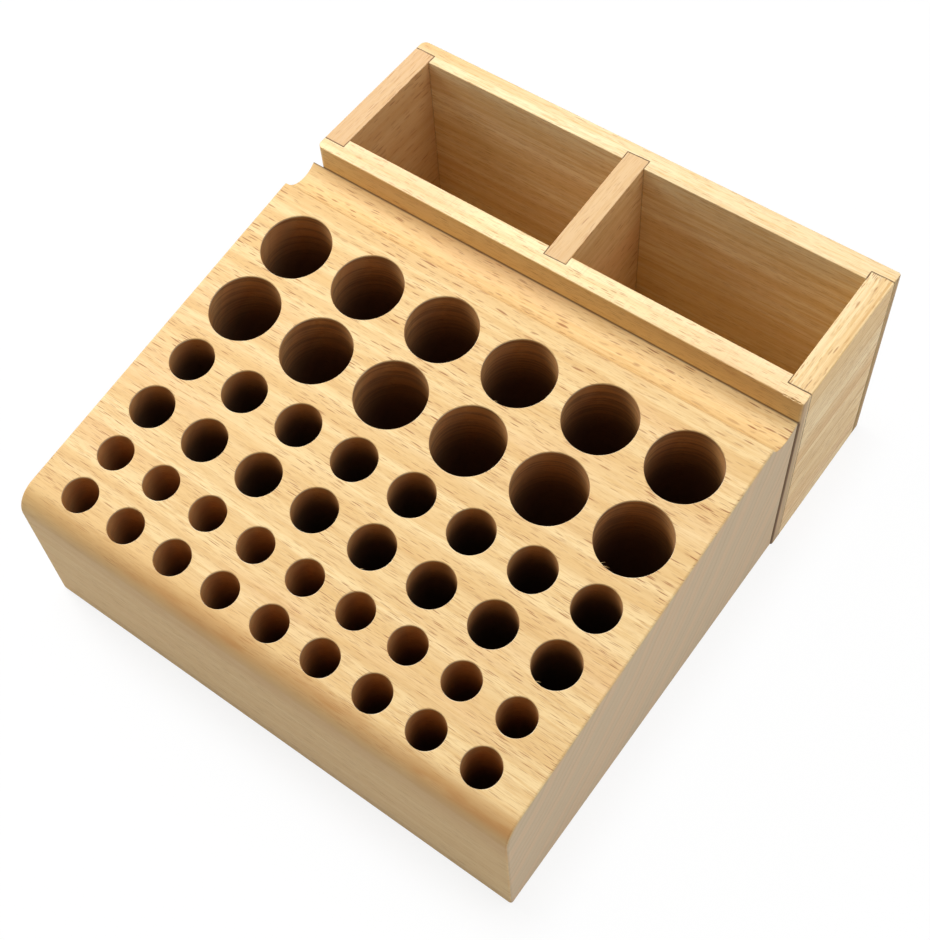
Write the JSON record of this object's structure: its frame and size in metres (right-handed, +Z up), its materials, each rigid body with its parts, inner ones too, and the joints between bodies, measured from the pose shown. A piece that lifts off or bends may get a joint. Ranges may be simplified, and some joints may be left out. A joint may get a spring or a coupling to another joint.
{
  "type": "tool holder block",
  "caption": "Sloped beech block with rows of vertical holes for hand tools, a pen trough along its back and an open divided box behind it.",
  "frame": {"origin": "middle of the whole footprint, on the surface the object stands on", "axes": "+X along the rows of holes from left to right, +Y from the front to the box at the back, +Z up"},
  "size_m": [0.1896, 0.2116, 0.085],
  "materials": {
    "block_beech": "solid beech, sanded smooth and unvarnished",
    "wall_beech": "beech board, sanded smooth, grain along X",
    "end_beech": "beech board, sanded smooth, grain along Y",
    "panel_beech": "thin beech panel, left as planed"
  },
  "bodies": {
    "root": {"tool_block": "block_beech", "box_front_wall": "wall_beech", "box_rear_wall": "wall_beech", "box_left_end": "end_beech", "box_right_end": "end_beech", "box_divider": "end_beech", "box_bottom": "panel_beech"}
  },
  "joints": []
}
